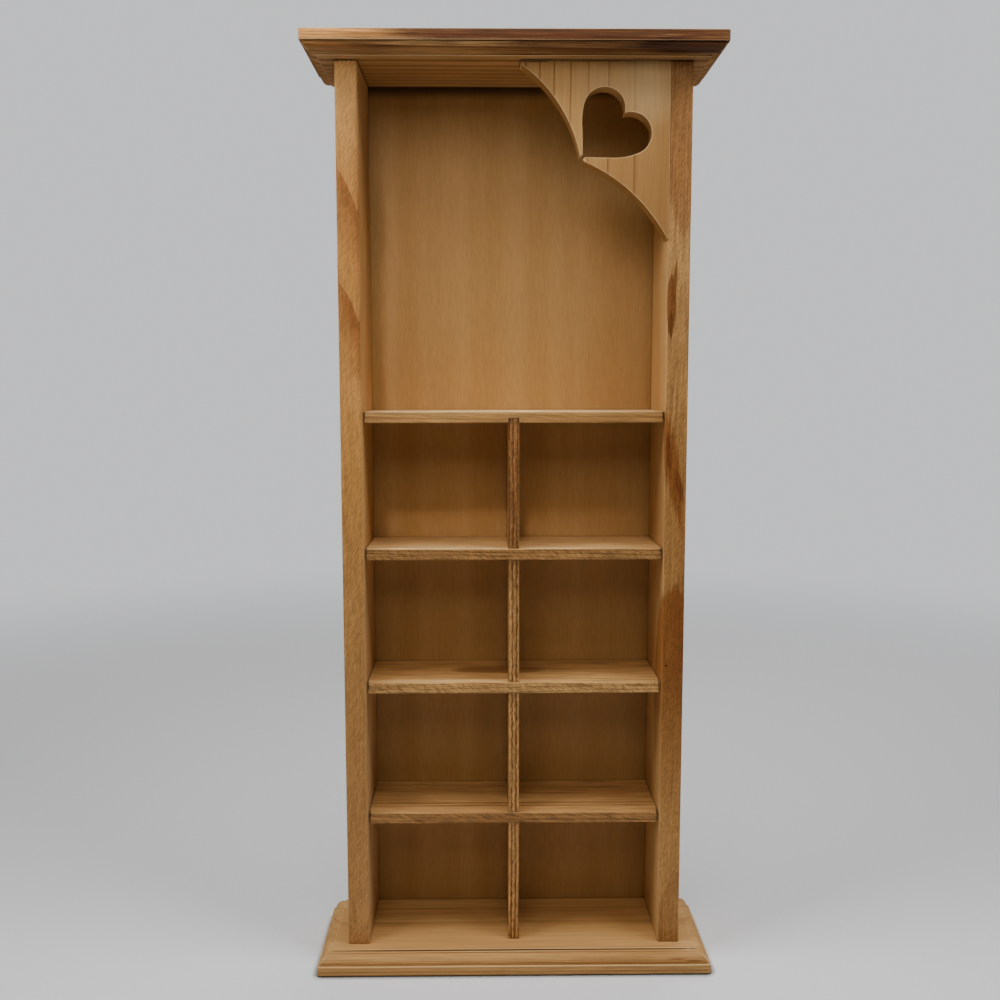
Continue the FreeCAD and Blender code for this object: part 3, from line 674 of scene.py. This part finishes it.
def eased_copy(node, radius, holes):
    """A copy of a board with its outer arrises rubbed round, to stand for it; nail holes stay crisp."""
    bm = bmesh.new()
    bm.from_mesh(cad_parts[node].data)
    bmesh.ops.remove_doubles(bm, verts=bm.verts, dist=WELD)
    bmesh.ops.dissolve_limit(bm, angle_limit=FLAT_ANGLE, use_dissolve_boundaries=False,
                             verts=bm.verts, edges=bm.edges, delimit={"NORMAL"})
    layer = bm.faces.layers.float.new("arris")
    sharp = [e for e in bm.edges if e.is_manifold and e.calc_face_angle_signed() > ARRIS_ANGLE
             and not any(inside(v.co, box) for box in holes for v in e.verts)]
    made = bmesh.ops.bevel(bm, geom=sharp, offset=radius, offset_type="OFFSET", segments=2, profile=0.5,
                           affect="EDGES", clamp_overlap=True, material=-1)
    for face in made["faces"]:
        face[layer] = 1.0
    for face in bm.faces:
        face.smooth = True
    mesh = bpy.data.meshes.new(node + "_wood")
    bm.to_mesh(mesh)
    bm.free()
    mesh.set_sharp_from_angle(angle=CRISP_ANGLE)
    piece = bpy.data.objects.new(node + "_wood", mesh)
    bpy.context.scene.collection.objects.link(piece)
    weight = piece.modifiers.new("flat faces", "WEIGHTED_NORMAL")
    weight.keep_sharp = True
    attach(piece, BODY)
    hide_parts(node)
    return piece


def dress(nodes):
    """Sets eased copies of boards in pine in place of the boards."""
    finish = bpy.context.scene.shelf_pine
    holes = nail_boxes()
    for node in nodes:
        piece = eased_copy(node, finish.arris, holes)
        piece.data.materials.append(pine(node, finish))


def paint(node, material):
    """Gives a kept node its material."""
    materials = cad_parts[node].data.materials
    materials.clear()
    materials.append(material)


class SHELF_OT_boards(bpy.types.Operator):
    """Dresses the moulded top and base boards"""

    bl_idname = "shelf.boards"
    bl_label = "Moulded boards"

    def execute(self, context):
        dress(BOARDS)
        return {"FINISHED"}


class SHELF_OT_uprights(bpy.types.Operator):
    """Dresses the two uprights"""

    bl_idname = "shelf.uprights"
    bl_label = "Uprights"

    def execute(self, context):
        dress(UPRIGHTS)
        return {"FINISHED"}


class SHELF_OT_shelves(bpy.types.Operator):
    """Dresses the four shelves"""

    bl_idname = "shelf.shelves"
    bl_label = "Shelves"

    def execute(self, context):
        dress(SHELVES)
        return {"FINISHED"}


class SHELF_OT_divider(bpy.types.Operator):
    """Dresses the centre divider"""

    bl_idname = "shelf.divider"
    bl_label = "Centre divider"

    def execute(self, context):
        dress(("centre_divider",))
        return {"FINISHED"}


class SHELF_OT_bracket(bpy.types.Operator):
    """Dresses the scroll-sawn heart bracket"""

    bl_idname = "shelf.bracket"
    bl_label = "Heart bracket"

    def execute(self, context):
        dress(("heart_bracket",))
        return {"FINISHED"}


class SHELF_OT_panel(bpy.types.Operator):
    """Gives the back panel its veneered plywood"""

    bl_idname = "shelf.panel"
    bl_label = "Back panel"

    def execute(self, context):
        paint("back_panel", plywood(context.scene.shelf_plywood))
        return {"FINISHED"}


class SHELF_OT_nails(bpy.types.Operator):
    """Gives the nails and brads their dull wire"""

    bl_idname = "shelf.nails"
    bl_label = "Nails and brads"

    def execute(self, context):
        material = nail_wire(context.scene.shelf_nails)
        for node in NAILS:
            paint(node, material)
        return {"FINISHED"}


class SHELF_OT_studio(bpy.types.Operator):
    """Adds the floor, the soft lights, the background and the camera"""

    bl_idname = "shelf.studio"
    bl_label = "Studio"

    def execute(self, context):
        setup = context.scene.shelf_studio
        add_floor(setup.cloth)
        lights = {name: add_light(name, lamp, getattr(setup, name + "_power"))
                  for name, lamp in LAMPS.items()}
        leave_out(lights["bay"], "receiver", ("floor",))
        leave_out(lights["bay"], "blocker", ("heart_bracket_wood", "top_board_wood"))
        add_background(setup.background, setup.ambient)
        add_camera()
        return {"FINISHED"}


def add_floor(colour):
    """A round floor under the shelf."""
    bm = bmesh.new()
    bmesh.ops.create_circle(bm, cap_ends=True, segments=64, radius=FLOOR_RADIUS)
    mesh = bpy.data.meshes.new("floor")
    bm.to_mesh(mesh)
    bm.free()
    mesh.materials.append(pale_cloth(colour))
    floor = bpy.data.objects.new("floor", mesh)
    bpy.context.scene.collection.objects.link(floor)


def add_background(colour, ambient):
    """A plain pale background that lights the shelf only faintly."""
    world = bpy.data.worlds.new("studio")
    world.use_nodes = True
    tree = world.node_tree
    light = put(tree, "Background", {"Color": colour, "Strength": ambient})
    seen = put(tree, "Background", {"Color": colour, "Strength": 1.0})
    path = put(tree, "LightPath").outputs["Is Camera Ray"]
    both = put(tree, "MixShader", {0: path, 1: light, 2: seen})
    feed(tree.nodes["World Output"], {"Surface": both})
    bpy.context.scene.world = world


def add_light(name, lamp, power):
    """A soft rectangular light that faces its target."""
    source = bpy.data.lights.new(name, "AREA")
    source.shape = "RECTANGLE"
    source.size, source.size_y = lamp.size
    source.energy = power
    source.spread = lamp.spread
    light = bpy.data.objects.new(name, source)
    light.location = lamp.place
    light.rotation_euler = (lamp.target - Vector(lamp.place)).to_track_quat("-Z", "Y").to_euler()
    bpy.context.scene.collection.objects.link(light)
    return light


def leave_out(light, role, names):
    """Keeps a light from falling on the named objects, or from being shaded by them."""
    group = bpy.data.collections.new(light.name + "_" + role)
    for name in names:
        group.objects.link(bpy.data.objects[name])
    for member in group.collection_objects:
        member.light_linking.link_state = "EXCLUDE"
    setattr(light.light_linking, role + "_collection", group)


def add_camera():
    """The photograph's camera, at its place and turn and with its focal length."""
    pitch, yaw, roll = (math.radians(angle) for angle in (CAMERA_PITCH, CAMERA_YAW, CAMERA_ROLL))
    lens = bpy.data.cameras.new("camera")
    lens.sensor_width = SENSOR_WIDTH
    lens.lens = FOCAL_PIXELS / PICTURE_PIXELS * SENSOR_WIDTH
    camera = bpy.data.objects.new("camera", lens)
    turn = (Matrix.Rotation(roll, 4, "Y") @ Matrix.Rotation(-pitch, 4, "X") @ Matrix.Rotation(yaw, 4, "Z")
            @ Matrix.Rotation(math.pi / 2, 4, "X"))
    camera.matrix_world = Matrix.Translation(CAMERA_PLACE) @ turn
    bpy.context.scene.collection.objects.link(camera)
    bpy.context.scene.camera = camera


STEPS = (SHELF_OT_boards, SHELF_OT_uprights, SHELF_OT_shelves, SHELF_OT_divider, SHELF_OT_bracket,
         SHELF_OT_panel, SHELF_OT_nails, SHELF_OT_studio)
GROUPS = {"shelf_pine": PineFinish, "shelf_plywood": PlywoodFinish, "shelf_nails": NailFinish,
          "shelf_studio": StudioSetup}


class SHELF_PT_sidebar(bpy.types.Panel):
    """Lists the shelf's pieces and finishes"""

    bl_label = "Wall shelf"
    bl_space_type = "VIEW_3D"
    bl_region_type = "UI"
    bl_category = "Wall shelf"

    def draw(self, context):
        for name, group in GROUPS.items():
            box = self.layout.box()
            box.label(text=group.__doc__)
            for prop in group.__annotations__:
                box.prop(getattr(context.scene, name), prop)
        for step in STEPS:
            self.layout.operator(step.bl_idname)


CLASSES = (*GROUPS.values(), *STEPS, SHELF_PT_sidebar)


def register():
    """Registers the classes and gives the scene its finishes and studio."""
    for cls in CLASSES:
        bpy.utils.register_class(cls)
    for name, group in GROUPS.items():
        setattr(bpy.types.Scene, name, bpy.props.PointerProperty(type=group))


def unregister():
    """Takes the finishes, the studio and the classes away again."""
    for name in GROUPS:
        delattr(bpy.types.Scene, name)
    for cls in reversed(CLASSES):
        bpy.utils.unregister_class(cls)


def main():
    """Registers the finishes, dresses the shelf and sets up the studio."""
    register()
    bpy.ops.shelf.boards()
    bpy.ops.shelf.uprights()
    bpy.ops.shelf.shelves()
    bpy.ops.shelf.divider()
    bpy.ops.shelf.bracket()
    bpy.ops.shelf.panel()
    bpy.ops.shelf.nails()
    bpy.ops.shelf.studio()


if __name__ == "__main__":
    main()
